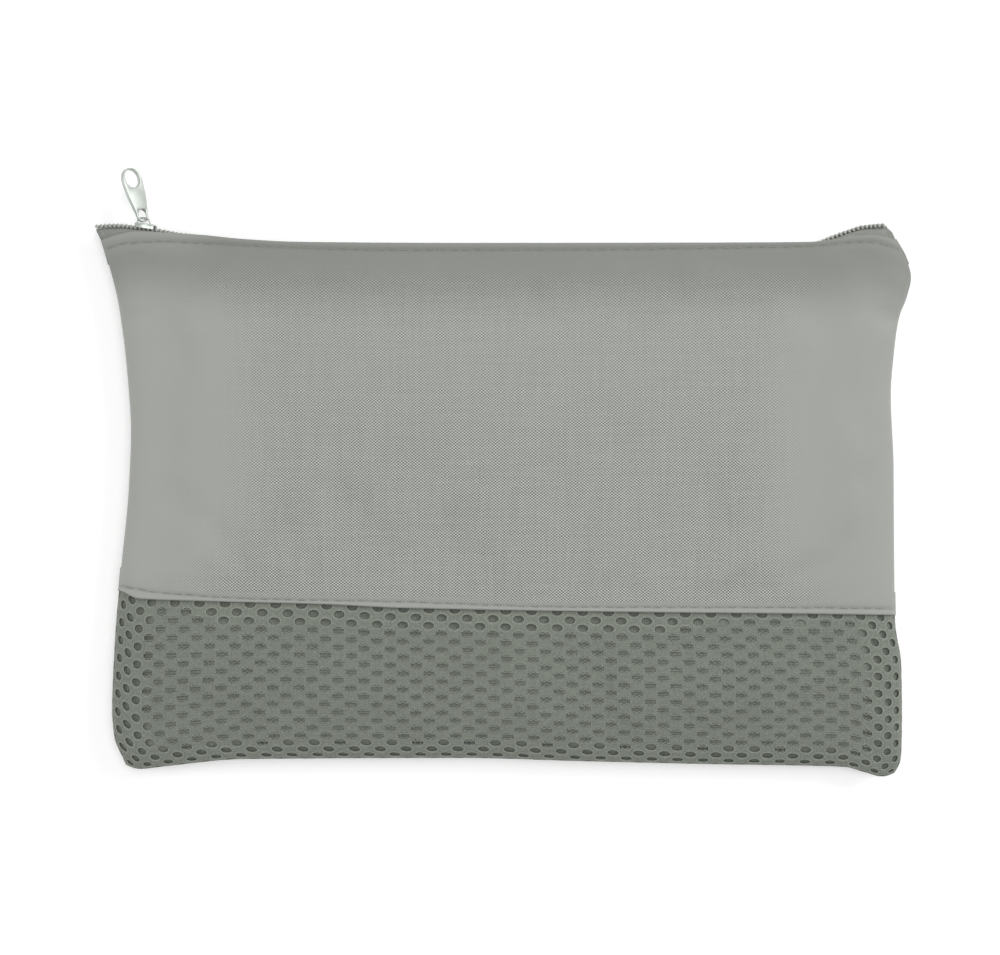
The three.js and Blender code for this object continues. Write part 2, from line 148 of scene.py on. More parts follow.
def ramp(d):
    """Height of the rounded border at a distance in from its seam, 0 to 1."""
    t = np.clip(d / PUFF_WIDTH, 0, 1)
    return (1 - (1 - t) ** PUFF_POWER) ** (1 / PUFF_POWER)


def border_steps(count):
    """Distances in from a seam, close together where the border rounds over."""
    angle = np.linspace(0, math.pi / 2, count)
    return PUFF_WIDTH * (1 - np.cos(angle) ** (2 / PUFF_POWER))


# Creases: start, end, half width, depth (negative is a ridge)
CREASES = [
    ((-110, 42.5), (-98, 45.5), 1.5, 0.9),
    ((-109, 47.5), (-96, 51), 1.8, -0.5),
    ((113, 44), (103, 47), 1.6, 1.1),
    ((114, 40), (104, 36), 2.2, -0.4),
    ((116, 52), (104, 60), 2.4, -0.5),
    ((-112, -77), (-97, -66), 2.2, 0.5),
    ((-104, -84), (-92, -70), 2.4, -0.35),
    ((110, -85), (99, -73), 2.2, 0.45),
    ((113, -74), (101, -66), 2.4, -0.35),
    ((-113, 60), (-98, 62.5), 1.6, 0.45),
    ((98, 62), (111, 60.5), 1.8, 0.4),
]


def creases(x, y):
    total = np.zeros_like(x)
    for (x0, y0), (x1, y1), wide, depth in CREASES:
        length = math.hypot(x1 - x0, y1 - y0)
        ux, uy = (x1 - x0) / length, (y1 - y0) / length
        along = ((x - x0) * ux + (y - y0) * uy) / length
        across = (x - x0) * -uy + (y - y0) * ux
        taper = smooth((along + 0.25) / 0.4) * smooth((1.15 - along) / 0.75)
        total -= depth * taper * np.exp(-((across / wide) ** 2))
    return total


SIM_COLUMNS, SIM_ROWS, SIM_FRAMES = 81, 57, 20
SLACK_CAP = 0.55  # the simulated cloth's movement counts up to this
SLACK_BORDER = 5  # and fades out over so many points at the edges
slack_grid = np.zeros((SIM_ROWS, SIM_COLUMNS))


def slack(x, y):
    """How far the simulated cloth moved at each place."""
    u = np.clip((x - left_x(y)) / (right_x(y) - left_x(y)), 0, 1) * (SIM_COLUMNS - 1)
    w = np.clip((y - bottom_y(x)) / (fold_y(x) - bottom_y(x)), 0, 1) * (SIM_ROWS - 1)
    i = np.minimum(u.astype(int), SIM_COLUMNS - 2)
    j = np.minimum(w.astype(int), SIM_ROWS - 2)
    fu, fw = u - i, w - j
    low = slack_grid[j, i] * (1 - fu) + slack_grid[j, i + 1] * fu
    high = slack_grid[j + 1, i] * (1 - fu) + slack_grid[j + 1, i + 1] * fu
    return low * (1 - fw) + high * fw


def ripples(x, y):
    """Low waves in slack cloth: short ones pulled by the zip's stitching and the hem's."""
    near_zip = np.exp(-np.clip(fold_y(x) - y - 2, 0, None) / 7.0)
    short = np.sin(x * 0.42 + 1.3 * np.sin(x * 0.071)) * np.sin(x * 0.23 + 0.8)
    near_hem = np.exp(-np.abs(y - hem_stitch_y(x)) / 4.0)
    puckers = np.sin(x * 0.61 + 0.9 * np.sin(x * 0.05 + 2))
    edges = ramp(x - left_x(y)) * ramp(right_x(y) - x)
    return edges * (0.1 * short * near_zip + 0.06 * puckers * near_hem) + slack(x, y)


def puff(x, y, mouth_share):
    """Share of the full height, from the seams up."""
    sides = ramp(x - left_x(y)) * ramp(right_x(y) - x) * ramp(y - bottom_y(x))
    share = mouth_share + (1 - mouth_share) * smooth((fold_y(x) - y) / MOUTH_SLOPE)
    return sides * share


def front_z(x, y):
    """The outer face of the front, before its hem and stitching."""
    soft = smooth((x - left_x(y)) / EDGE_FADE) * smooth((right_x(y) - x) / EDGE_FADE)
    soft = soft * smooth((y - bottom_y(x)) / EDGE_FADE)
    height = SEAM_Z + (FACE_Z - SEAM_Z) * puff(x, y, FRONT_MOUTH)
    return height + soft * (creases(x, y) + ripples(x, y))


def groove(y, line, depth, wide):
    return depth * np.exp(-(((y - line) / wide) ** 2))


def upper_z(x, y):
    """The outer face of the upper panel, with a valley along each row of stitches."""
    mouth = groove(y, mouth_stitch_y(x), *MOUTH_GROOVE)
    return front_z(x, y) - mouth - groove(y, hem_stitch_y(x), *HEM_GROOVE)


def mesh_z(x, y):
    """The outer face of the mesh panel: it tucks in under the hem."""
    tuck = HEM_TUCK * smooth((y - hem_y(x) + TUCK_START) / TUCK_LENGTH)
    return front_z(x, y) - tuck


def from_seams(x, y):
    """Distance in from the net's seams, which hold it off its lining: the sides twice as far
    as the bottom, and the hem only along its middle."""
    sides = np.minimum(x - left_x(y), right_x(y) - x) / 2.0
    slack_hem = 3.4 - 4.2 * smooth((x + 94) / 12) * smooth((66 - x) / 24)
    return np.minimum(sides, np.minimum(y - bottom_y(x), hem_y(x) + slack_hem - y))


def held_off(x, y):
    """1 where the net stands off its lining, 0 where it lies on it."""
    return 1 - smooth((from_seams(x, y) - 3.8) / 2.8)


def back_z(x, y):
    return SEAM_Z * (1 - puff(x, y, BACK_MOUTH))


def settle(u, w, low, high):
    """Points a share u across and w of the way from one line up to another, as arrays."""
    x = np.zeros(np.broadcast(u, w).shape)
    for _ in range(14):  # the sides bow, so x and y are found together
        y = low(x) + (high(x) - low(x)) * w
        x = left_x(y) + (right_x(y) - left_x(y)) * u
    return x, y


def corner_shift(from_side, from_bottom, reach, shift):
    near = np.clip(1 - from_side / reach, 0, 1) * np.clip(1 - from_bottom / reach, 0, 1)
    return shift * near**1.5


def metres(x, y, z):
    """Into the part's frame, with the lower corners of the cloth turned round."""
    x, y, z = np.broadcast_arrays(np.asarray(x, float), y, z)
    left = corner_shift(x - left_x(y), y - bottom_y(x), *LEFT_CORNER)
    right = corner_shift(right_x(y) - x, y - bottom_y(x), *RIGHT_CORNER)
    return np.stack([x + left - right - MIDDLE[0], y + left + right - MIDDLE[1], z], -1) / 1000


def to_metres(points):
    return metres(points[..., 0], points[..., 1], points[..., 2])


# -------- pieces
def make_object(name, points, faces, material):
    mesh = bpy.data.meshes.new(name)
    mesh.from_pydata([tuple(p) for p in points], [], [tuple(int(i) for i in f) for f in faces])
    mesh.polygons.foreach_set("use_smooth", [True] * len(mesh.polygons))
    mesh.materials.append(material)
    mesh.update()
    made = bpy.data.objects.new(name, mesh)
    bpy.context.scene.collection.objects.link(made)
    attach(made, "pouch")
    return made


def add_values(piece, **values):
    """Stores one number per vertex for the materials to read."""
    for name, numbers in values.items():
        layer = piece.data.attributes.new(name, "FLOAT", "POINT")
        layer.data.foreach_set("value", np.asarray(numbers, np.float32).ravel())


def grid_faces(rows, columns):
    index = np.arange(rows * columns).reshape(rows, columns)
    return np.stack(
        [index[:-1, :-1], index[:-1, 1:], index[1:, 1:], index[1:, :-1]], -1
    ).reshape(-1, 4)


def thicken(piece, thick, offset=-1.0):
    solid = piece.modifiers.new("thickness", "SOLIDIFY")
    solid.thickness = thick / 1000
    solid.offset = offset
    solid.use_even_offset = False
    return piece


def side_cuts(steps=15, middle=2.2):
    """Shares across the pouch: close together where the sides round over."""
    near = border_steps(steps + 1) / BODY_WIDTH
    step = middle / BODY_WIDTH
    inner = np.arange(near[-1] + step, 1 - near[-1] - 0.5 * middle / BODY_WIDTH, step)
    return np.concatenate([near, inner, 1 - near[::-1]])


def tube(path, radius, sides=8, up=(0, 0, 1.0)):
    """A swept round thread along points in millimetres. Returns points and faces."""
    path = np.asarray(path, float)
    along = np.gradient(path, axis=0)
    along /= np.linalg.norm(along, axis=1)[:, None]
    up = np.tile(np.array(up), (len(path), 1))
    side = np.cross(along, up)
    side /= np.maximum(np.linalg.norm(side, axis=1), 1e-9)[:, None]
    over = np.cross(side, along)
    radius = np.broadcast_to(radius, len(path))[:, None, None]
    angle = np.linspace(0, 2 * math.pi, sides, endpoint=False)[None, :, None]
    ring = np.cos(angle) * side[:, None, :] + np.sin(angle) * over[:, None, :]
    points = (path[:, None, :] + radius * ring).reshape(-1, 3)
    faces = []
    for i in range(len(path) - 1):
        for k in range(sides):
            a, b = i * sides + k, i * sides + (k + 1) % sides
            faces.append((a, b, b + sides, a + sides))
    faces.append(tuple(range(sides))[::-1])
    faces.append(tuple((len(path) - 1) * sides + k for k in range(sides)))
    return points, faces


def gather(parts):
    """Joins several (points, faces) into one."""
    points, faces, start = [], [], 0
    for p, f in parts:
        points.append(p)
        faces += [tuple(i + start for i in face) for face in f]
        start += len(p)
    return np.concatenate(points), faces


# -------- materials
class Nodes:
    def __init__(self, name):
        self.material = bpy.data.materials.new(name)
        self.material.use_nodes = True
        self.tree = self.material.node_tree
        self.shader = next(n for n in self.tree.nodes if n.type == "BSDF_PRINCIPLED")

    def put(self, socket, value):
        if isinstance(value, bpy.types.NodeSocket):
            self.tree.links.new(value, socket)
        else:
            socket.default_value = value

    def math(self, kind, a, b=None, c=None):
        node = self.tree.nodes.new("ShaderNodeMath")
        node.operation = kind
        for socket, value in zip(node.inputs, (a, b, c)):
            if value is not None:
                self.put(socket, value)
        return node.outputs[0]

    def place(self):
        coordinates = self.tree.nodes.new("ShaderNodeTexCoord")
        split = self.tree.nodes.new("ShaderNodeSeparateXYZ")
        self.tree.links.new(coordinates.outputs["Object"], split.inputs[0])
        return coordinates.outputs["Object"], split.outputs[0], split.outputs[1], split.outputs[2]

    def noise(self, vector, scale, detail=3.0, stretch=None):
        if stretch is not None:
            mapping = self.tree.nodes.new("ShaderNodeMapping")
            mapping.inputs["Scale"].default_value = stretch
            self.tree.links.new(vector, mapping.inputs["Vector"])
            vector = mapping.outputs[0]
        node = self.tree.nodes.new("ShaderNodeTexNoise")
        node.inputs["Scale"].default_value = scale
        node.inputs["Detail"].default_value = detail
        node.inputs["Roughness"].default_value = 0.5
        self.tree.links.new(vector, node.inputs["Vector"])
        return node.outputs["Fac"]

    def value(self, name):
        node = self.tree.nodes.new("ShaderNodeAttribute")
        node.attribute_name = name
        return node.outputs["Fac"]

    def shade(self, colour, factor):
        """The colour times a factor that varies over the surface."""
        node = self.tree.nodes.new("ShaderNodeVectorMath")
        node.operation = "SCALE"
        node.inputs[0].default_value = colour[:3]
        self.put(node.inputs["Scale"], factor)
        return node.outputs[0]

    def finish(self, colour, rough, metal=0.0, height=None, depth=0.0001, strength=1.0, **others):
        self.put(self.shader.inputs["Base Color"], colour)
        self.put(self.shader.inputs["Roughness"], rough)
        self.shader.inputs["Metallic"].default_value = metal
        for name, value in others.items():
            self.shader.inputs[name.replace("_", " ")].default_value = value
        if height is not None:
            bump = self.tree.nodes.new("ShaderNodeBump")
            bump.inputs["Strength"].default_value = strength
            bump.inputs["Distance"].default_value = depth
            self.put(bump.inputs["Height"], height)
            self.tree.links.new(bump.outputs[0], self.shader.inputs["Normal"])
        return self.material


GAIN = 0.975  # matches the cloth's albedo to the lights below


def linear(r, g, b):
    """An sRGB colour of 0 to 255 as an albedo."""

    def one(v):
        v = v / 255
        return GAIN * (v / 12.92 if v <= 0.04045 else ((v + 0.055) / 1.055) ** 2.4)

    return (one(r), one(g), one(b))


TURN = 2 * math.pi
PITCH_X, PITCH_Y = 0.000986, 0.000817  # metres, two threads each way
RIB_PITCH, LOOP_PITCH = 0.00062, 0.0005  # the net's knit
BUMP_DEPTH = 0.00012
FABRIC_STRENGTH = 0.6


def woven(name, colour, contrast):
    """Oxford weave: "weave" is how clearly it shows at each place, "tone" how light it is, which
    holds painted shade and painted highlights.
    """
    n = Nodes(name)
    spot, x, y, _ = n.place()
    wobble = n.math("MULTIPLY_ADD", n.noise(spot, 260, 2.0), 0.00018, -0.00009)
    across = n.math("SINE", n.math("MULTIPLY", n.math("ADD", x, wobble), TURN / PITCH_X))
    down = n.math("SINE", n.math("MULTIPLY", n.math("ADD", y, wobble), TURN / PITCH_Y))
    weave = n.math("MULTIPLY", across, down)
    down_threads = n.noise(spot, 900, 2.0, (1, 0.06, 1))
    slub = n.math("ADD", down_threads, n.noise(spot, 900, 2.0, (0.06, 1, 1)))
    cloud = n.noise(spot, 38, 3.0)
    fade = n.value("weave")
    tone = n.value("tone")
    visible = n.math("MULTIPLY", weave, n.math("MULTIPLY", fade, contrast))
    factor = n.math("ADD", 1.0, visible)
    share = n.math("MULTIPLY_ADD", fade, 0.12, 0.04)
    uneven = n.math("MULTIPLY", n.math("SUBTRACT", slub, 1.0), share)
    factor = n.math("ADD", factor, uneven)
    factor = n.math("ADD", factor, n.math("MULTIPLY_ADD", cloud, 0.05, -0.025))
    # tone: painted shade and painted highlights
    factor = n.math("MULTIPLY", factor, tone)
    height = n.math("ADD", n.math("MULTIPLY", weave, fade), n.math("MULTIPLY", uneven, 3.0))
    roughness = n.math("MULTIPLY_ADD", slub, 0.15, 0.47)
    return n.finish(
        n.shade(colour, factor), roughness,
        height=height, depth=BUMP_DEPTH, strength=FABRIC_STRENGTH,
        Sheen_Weight=0.12, Sheen_Roughness=0.4, Specular_IOR_Level=0.35,
    )


def knitted(name, colour, rough=0.7, has_tone=False):
    """Warp-knit net: fine ribs down the cloth, and a painted highlight on the rolled rim round each
    hole.
    """
    n = Nodes(name)
    spot, x, y, _ = n.place()
    rim = n.value("rim")
    wobble = n.math("MULTIPLY_ADD", n.noise(spot, 420, 2.0), 0.0005, -0.00025)
    ribs = n.math("SINE", n.math("MULTIPLY", n.math("ADD", x, wobble), TURN / RIB_PITCH))
    loops = n.math("SINE", n.math("MULTIPLY", n.math("ADD", y, wobble), TURN / LOOP_PITCH))
    knit = n.math("ADD", n.math("MULTIPLY", ribs, 0.6), n.math("MULTIPLY", loops, 0.4))
    fuzz = n.noise(spot, 1500, 3.0)
    cloud = n.noise(spot, 55, 3.0)
    factor = n.math("MULTIPLY_ADD", knit, 0.07, 1.0)
    factor = n.math("ADD", factor, n.math("MULTIPLY_ADD", fuzz, 0.7, -0.35))
    factor = n.math("ADD", factor, n.math("MULTIPLY_ADD", cloud, 0.1, -0.05))
    # rim: painted highlight round the holes; on the pinched loops, painted shadow and painted
    # highlight
    factor = n.math("ADD", factor, n.math("MULTIPLY", rim, 0.09))
    # tone: painted shade on the lining
    if has_tone:
        factor = n.math("MULTIPLY", factor, n.value("tone"))
    height = n.math("ADD", knit, n.math("MULTIPLY", fuzz, 1.2))
    return n.finish(
        n.shade(colour, factor), rough, height=height, depth=BUMP_DEPTH, strength=FABRIC_STRENGTH,
        Sheen_Weight=0.15, Sheen_Roughness=0.5, Specular_IOR_Level=0.25,
    )


def ribbed(name, colour, pitch, rough, contrast, diagonal, gloss=0.35):
    """Narrow woven tape, or twisted thread where diagonal is large."""
    n = Nodes(name)
    spot, x, y, z = n.place()
    lean = n.math("ADD", x, n.math("MULTIPLY", n.math("ADD", y, z), diagonal))
    ribs = n.math("SINE", n.math("MULTIPLY", lean, TURN / pitch))
    fuzz = n.noise(spot, 1800, 3.0)
    factor = n.math("MULTIPLY_ADD", ribs, contrast, 1.0)
    factor = n.math("ADD", factor, n.math("MULTIPLY_ADD", fuzz, 0.3, -0.15))
    height = n.math("ADD", ribs, n.math("MULTIPLY", fuzz, 0.7))
    return n.finish(
        n.shade(colour, factor), rough, height=height, depth=0.00008, strength=FABRIC_STRENGTH,
        Specular_IOR_Level=gloss, Sheen_Weight=0.08,
    )


def plated(name, colour):
    """Bright nickel with polishing marks, fine scratches and duller worn spots."""
    n = Nodes(name)
    spot = n.place()[0]
    marks = n.noise(spot, 2600, 4.0, (0.15, 1, 1))
    patches = n.noise(spot, 420, 3.0)
    rough = n.math("MULTIPLY_ADD", patches, 0.2, 0.26)
    rough = n.math("ADD", rough, n.math("MULTIPLY", marks, 0.1))
    tone = n.math("MULTIPLY_ADD", patches, 0.12, 0.93)
    height = n.math("ADD", marks, n.math("MULTIPLY", patches, 2.0))
    colour = n.shade(colour, tone)
    return n.finish(colour, rough, metal=1.0, height=height, depth=0.00002, strength=0.35)


upper_cloth = woven("upper_cloth", linear(158, 160, 155), contrast=0.68)
back_cloth = woven("back_cloth", linear(155, 157, 152), contrast=0.4)
mesh_cloth = knitted("mesh_cloth", linear(122, 127, 118))
lining_cloth = knitted("lining_cloth", linear(120, 125, 116), 0.8, True)
tape_cloth = ribbed("tape_cloth", linear(140, 142, 137), 0.0007, 0.65, 0.1, 1.0)
binding_cloth = ribbed("binding_cloth", linear(133, 136, 127), 0.0005, 0.75, 0.1, 0.0)
sewing_thread = ribbed("sewing_thread", linear(147, 149, 144), 0.00035, 0.55, 0.15, 1.5)
coil_nylon = ribbed("coil_nylon", linear(176, 178, 172), 0.0009, 0.35, 0.04, 0.0, 0.5)
nickel = plated("nickel", (0.49, 0.52, 0.49))


# -------- cloth simulation
def simulate_front():
    """Lets the whole front settle as slack cloth held along its seams and its hem, and returns
    how far each point moved up."""
    u = np.linspace(0, 1, SIM_COLUMNS)[None, :]
    w = np.linspace(0, 1, SIM_ROWS)[:, None]
    x, y = settle(u, w, bottom_y, fold_y)
    start = metres(x, y, front_z(x, y)).reshape(-1, 3)
    data = bpy.data.meshes.new("settling")
    faces = grid_faces(SIM_ROWS, SIM_COLUMNS)
    data.from_pydata([tuple(p) for p in start], [], [tuple(int(i) for i in f) for f in faces])
    sheet = bpy.data.objects.new("settling", data)
    bpy.context.scene.collection.objects.link(sheet)
    held = sheet.vertex_groups.new(name="held")
    index = np.arange(SIM_ROWS * SIM_COLUMNS).reshape(SIM_ROWS, SIM_COLUMNS)
    inside = index[2:-2, 2:-2].ravel()
    held.add([int(i) for i in np.setdiff1d(index, inside)], 1.0, "REPLACE")
    near_hem = np.abs(y - hem_stitch_y(x)).ravel() < 1.6
    held.add([int(i) for i in np.flatnonzero(near_hem)], 0.6, "REPLACE")
    cloth = sheet.modifiers.new("cloth", "CLOTH")
    rules = cloth.settings
    rules.quality = 6
    rules.mass = 0.15
    rules.tension_stiffness = rules.compression_stiffness = 20
    rules.shear_stiffness = 8
    rules.bending_stiffness = 0.35
    rules.vertex_group_mass = "held"
    rules.pin_stiffness = 1
    rules.shrink_min = -0.012
    rules.use_pressure = True
    rules.uniform_pressure_force = 0.6
    rules.effector_weights.gravity = 0
    cloth.collision_settings.use_collision = False
    cloth.point_cache.frame_start, cloth.point_cache.frame_end = 1, SIM_FRAMES
    for number in range(1, SIM_FRAMES + 1):
        bpy.context.scene.frame_set(number)
    done = sheet.evaluated_get(bpy.context.evaluated_depsgraph_get()).to_mesh()
    after = np.zeros(len(start) * 3)
    done.vertices.foreach_get("co", after)
    moved = after.reshape(-1, 3)[:, 2] - start[:, 2]
    moved = moved.reshape(SIM_ROWS, SIM_COLUMNS) * 1000
    bpy.data.objects.remove(sheet)
    bpy.data.meshes.remove(data)
    bpy.context.scene.frame_set(1)
    moved = np.nan_to_num(moved)
    moved -= np.median(moved)
    return SLACK_CAP * np.tanh(moved / SLACK_CAP)


def steps_in(count):
    """How many steps each place in a row is from the nearer end."""
    return np.minimum(np.arange(count), np.arange(count)[::-1])


border = np.minimum.outer(steps_in(SIM_ROWS), steps_in(SIM_COLUMNS))
slack_grid[:] = simulate_front() * smooth(border / SLACK_BORDER)

# -------- upper panel
ACROSS = side_cuts()
TURNED_IN = (1.8, 0.55)  # the cloth turns in at a side seam in two steps
SEAM_STEP = 0.12
LEAST_THICK, FULL_AT = 0.12, 2.2  # a folded edge thins out where the pouch is flatter than this


def seam_columns(x_row, z_row, seam_z):
    """Adds two columns at each side, where the cloth turns in at the seam."""
    left = [x_row[:, :1] + step for step in TURNED_IN]
    right = [x_row[:, -1:] - step for step in reversed(TURNED_IN)]
    zs = [np.full_like(z_row[:, :1], seam_z) for _ in TURNED_IN]
    return np.concatenate(left + [x_row] + right, 1), np.concatenate(zs + [z_row] + zs, 1)


def repeat_ends(rows):
    return np.concatenate([rows[:, :1], rows[:, :1], rows, rows[:, -1:], rows[:, -1:]], 1)


def spread(start, end, first, growth, most):
    """Cuts from start to end whose steps grow from first to most."""
    cuts, step = [start], first
    while cuts[-1] + step < end:
        cuts.append(cuts[-1] + step)
        step = min(most, step * growth)
    return np.array(cuts)


def fold_rows(radius, outward, steps=7):
    """Offsets along Y and down in Z for a fold whose outside is a half circle."""
    rows = []
    for a in np.linspace(math.pi / 2, -math.pi / 2, steps):
        rows.append((outward * (radius * math.cos(a) - radius), -radius + radius * math.sin(a)))
    return rows


def upper_rows():
    """Each row is (where it hangs from, offset along Y or share of the way, drop in Z)."""
    rows = [("hem", offset, -2 * HEM_RADIUS) for offset in (6.5, 3.5, 1.2)]
    rows += [("hem", offset, drop) for offset, drop in reversed(fold_rows(HEM_RADIUS, -1))]
    hem_side = spread(0.55, 30, 0.35, 1.12, 2.4)[1:]
    fold_side = spread(0.6, 34, 0.35, 1.1, 2.4)[1:][::-1]
    rows += [("hem", offset, 0.0) for offset in hem_side]
    rows += [("share", share, 0.0) for share in np.linspace(33 / 105, 1 - 37 / 105, 17)]
    rows += [("fold", -offset, 0.0) for offset in fold_side]
    rows += [("fold", offset, drop) for offset, drop in fold_rows(LIP_RADIUS, 1)]
    rows += [("fold", offset, -2 * LIP_RADIUS) for offset in (-1.4, -4, -7)]
    return rows


def upper_values(x, y):
    """How clearly the weave shows and how light the cloth is: smooth near the zip, with painted
    shade there, smooth near the sides, painted shade in the stitched valleys, and painted
    highlights along the folds and near the sides."""
    down = fold_y(x) - y
    up = y - hem_y(x)
    inward = np.minimum(x - left_x(y), right_x(y) - x)
    reach = inward + 11 * (1 - smooth(up / 22)) + 7 * (1 - smooth((down - 8) / 14))
    weave = smooth((reach - 19) / 28) * smooth((down - 5) / 8)
    weave = weave * (0.83 + 0.42 * smooth((down - 14) / 62))
    weave = 0.04 + 0.96 * weave * (0.2 + 0.8 * smooth((y - hem_stitch_y(x) - 0.4) / 1.6))
    # painted shade: darker near the zip
    tone = 0.7 + 0.3 * smooth((down - 4) / 22)
    # painted highlight along the rolled fold at the mouth
    tone += 0.06 * (1 - smooth((down - 0.6) / 1.2))
    # the painted shade near the zip is lighter towards each end
    ends = 0.13 * smooth((-80 - x) / 15) + 0.05 * smooth((x - 85) / 12)
    tone += (1 - smooth((down - 2) / 7)) * ends
    tone *= 1 - 0.05 * smooth((x - 75) / 25)
    # painted light: a little lighter near the sides
    tone *= 1.0 + 0.035 * (1 - smooth((inward - 4) / 14)) * smooth((down - 8) / 16)
    # painted shade near the hem
    tone *= 1 - 0.035 * np.exp(-((y - hem_y(x)) / 7) ** 2)
    # painted shade in the stitched valleys
    tone *= 1 - 0.16 * np.exp(-(((y - mouth_stitch_y(x)) / 0.45) ** 2))
    tone *= 1 - 0.2 * np.exp(-(((y - hem_stitch_y(x)) / 0.4) ** 2))
    # painted highlight along the hem's fold
    tone *= 1 + 0.05 * np.exp(-(((y - hem_y(x) - 0.5) / 0.35) ** 2))
    return weave, tone


def build_upper():
    xs, ys, zs = [], [], []
    u = ACROSS
    for kind, amount, drop in upper_rows():
        if kind == "hem":
            x, y = settle(u, np.zeros_like(u), hem_y, hem_y)
            y = hem_y(x) + amount
        elif kind == "fold":
            x, y = settle(u, np.ones_like(u), fold_y, fold_y)
            y = fold_y(x) + amount
        else:
            x, y = settle(u, np.full_like(u, amount), hem_y, fold_y)
        x = left_x(y) + (right_x(y) - left_x(y)) * u
        inner_layer = kind == "fold" and drop < -1.8 * LIP_RADIUS
        top = front_z(x, y) if inner_layer else upper_z(x, y)
        xs.append(x)
        ys.append(y)
        zs.append(top + drop * np.clip((top - SEAM_Z) / FULL_AT, LEAST_THICK, 1))
    x, y, z = np.array(xs), np.array(ys), np.array(zs)
    weave, tone = upper_values(x, y)
    wide_x, wide_z = seam_columns(x, z, SEAM_Z + SEAM_STEP)
    points = metres(wide_x, repeat_ends(y), wide_z).reshape(-1, 3)
    piece = make_object("upper_panel_cloth", points, grid_faces(*wide_x.shape), upper_cloth)
    add_values(piece, weave=repeat_ends(weave), tone=repeat_ends(tone))
    thicken(piece, CLOTH)
    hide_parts("front_upper_panel")


build_upper()


# -------- mesh panel and its lining
CELL_X, CELL_Y = 7.4, 2.25  # holes repeat this far along a row, and rows this far apart
HOLE = (1.62, 1.06)
FIRST_HOLE = (1.0, 0.9)  # its middle, from the lower left corner of the flat net
UNDER_HEM = 5  # the net reaches this far in behind the hem
PRESSED = 0.3  # the lining rises this far into the net where they touch


def unrolled(limit=70.0):
    """Distance along the cloth against distance across, over the rounded border."""
    d = np.concatenate([border_steps(200), [limit]])
    h = (TOP_Z - SEAM_Z) * ramp(d)
    s = np.concatenate([[0], np.cumsum(np.hypot(np.diff(d), np.diff(h)))])
    return s, d


UNROLLED, ACROSS_FLAT = unrolled()
# The net is bunched up towards its seams, most at the sides.
GATHERED = UNROLLED + 4.2 * (1 - np.exp(-ACROSS_FLAT / 7))
UNROLLED = UNROLLED + 1.2 * (1 - np.exp(-ACROSS_FLAT / 4))
EXTRA = float(GATHERED[-1] - ACROSS_FLAT[-1])  # cloth taken up by one rounded border


def hexagon():
    """The cell round one hole, and the hole's own outline at the same angles."""
    half = CELL_X / 2
    cx = (half**2 + CELL_Y**2) / 2 / half
    corner = ((half**2 + CELL_Y**2) / 2 - CELL_Y * CELL_Y) / half
    corners = [(cx, 0), (corner, CELL_Y), (-corner, CELL_Y)]
    corners += [(-a, -b) for a, b in corners]
    parts = [4, 2, 4, 4, 2, 4]
    edge = []
    for i, n in enumerate(parts):
        a, b = np.array(corners[i]), np.array(corners[(i + 1) % 6])
        edge += [tuple(a + (b - a) * k / n) for k in range(n)]
    edge = np.array(edge)
    angle = np.arctan2(edge[:, 1] / HOLE[1], edge[:, 0] / HOLE[0])
    hole = np.stack([HOLE[0] * np.cos(angle), HOLE[1] * np.sin(angle)], 1)
    return edge, hole


def on_mesh(s, t):
    """Flat cloth position (s from the left seam, t from the bottom seam) to x, y."""
    y = np.interp(np.clip(t, 0, None), UNROLLED, ACROSS_FLAT) - 82.5
    x = np.zeros_like(s)
    for _ in range(6):
        wide = right_x(y) - left_x(y)
        total = wide + 2 * EXTRA
        along = s * total / (BODY_WIDTH + 2 * EXTRA)
        from_left = np.interp(np.clip(along, 0, None), GATHERED, ACROSS_FLAT)
        from_right = np.interp(np.clip(total - along, 0, None), GATHERED, ACROSS_FLAT)
        middle = along - EXTRA
        inner = np.where(along > total - 40, right_x(y) - from_right, left_x(y) + middle)
        x = np.where(along < 40, left_x(y) + from_left, inner)
        lift = np.interp(np.clip(t, 0, None), UNROLLED, ACROSS_FLAT)
        share = (hem_y(x) + UNDER_HEM - bottom_y(x)) / (hem_y(0.0) + UNDER_HEM - bottom_y(0.0))
        y = bottom_y(x) + lift * share
    return x, y


def cell_centres(total_s, high):
    """Middles of the holes, in staggered rows."""
    for row in range(-1, int(high / CELL_Y) + 3):
        for column in range(-1, int(total_s / CELL_X) + 2):
            shift = 0.5 * CELL_X if row % 2 else 0
            yield column * CELL_X + shift + FIRST_HOLE[0], row * CELL_Y + FIRST_HOLE[1]


